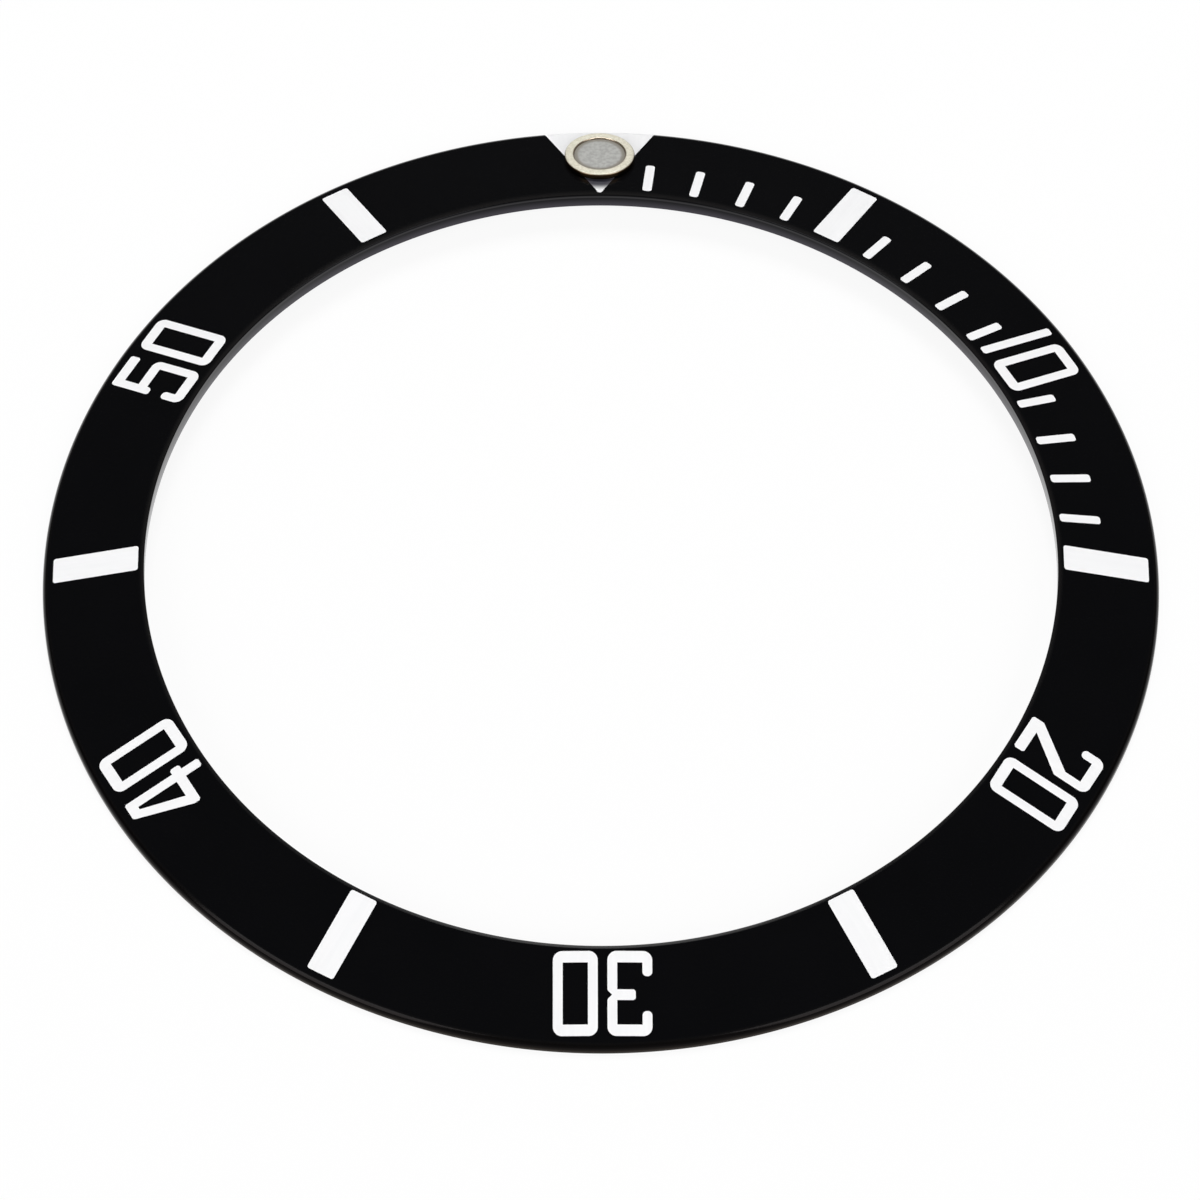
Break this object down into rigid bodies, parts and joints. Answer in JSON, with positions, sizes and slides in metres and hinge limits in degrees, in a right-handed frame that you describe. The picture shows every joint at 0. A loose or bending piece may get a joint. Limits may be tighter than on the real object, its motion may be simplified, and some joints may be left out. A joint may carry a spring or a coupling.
{
  "type": "watch bezel insert",
  "caption": "Thin conical black ring for a dive watch's turning bezel, with a filled minute scale, plain numerals and a luminous pearl in the triangle at twelve.",
  "frame": {"origin": "centre of the ring, on the plane of its flat foot", "axes": "+Z along the ring's axis, out of the face; +Y towards the triangle at twelve; +X towards minute fifteen"},
  "size_m": [0.0376, 0.0376, 0.0013],
  "materials": {
    "dyed_ring": "black dyed, glossy",
    "scale_fill": "silver-white enamel, flush with the face",
    "capsule_metal": "pale plated, polished",
    "luminous_paste": "fine grain",
    "pearl_glass": "clear"
  },
  "bodies": {
    "root": {"insert_ring": "dyed_ring", "triangle_inlay": "scale_fill", "bar_inlay_05": "scale_fill", "bar_inlay_15": "scale_fill", "bar_inlay_25": "scale_fill", "bar_inlay_35": "scale_fill", "bar_inlay_45": "scale_fill", "bar_inlay_55": "scale_fill", "minute_inlay_01": "scale_fill", "minute_inlay_02": "scale_fill", "minute_inlay_03": "scale_fill", "minute_inlay_04": "scale_fill", "minute_inlay_06": "scale_fill", "minute_inlay_07": "scale_fill", "minute_inlay_08": "scale_fill", "minute_inlay_09": "scale_fill", "minute_inlay_11": "scale_fill", "minute_inlay_12": "scale_fill", "minute_inlay_13": "scale_fill", "minute_inlay_14": "scale_fill", "numeral_10_tens": "scale_fill", "numeral_10_units": "scale_fill", "numeral_20_tens": "scale_fill", "numeral_20_units": "scale_fill", "numeral_30_tens": "scale_fill", "numeral_30_units": "scale_fill", "numeral_40_tens": "scale_fill", "numeral_40_units": "scale_fill", "numeral_50_tens": "scale_fill", "numeral_50_units": "scale_fill", "pearl_capsule": "capsule_metal", "pearl_lume": "luminous_paste", "pearl_lens": "pearl_glass"}
  },
  "joints": []
}
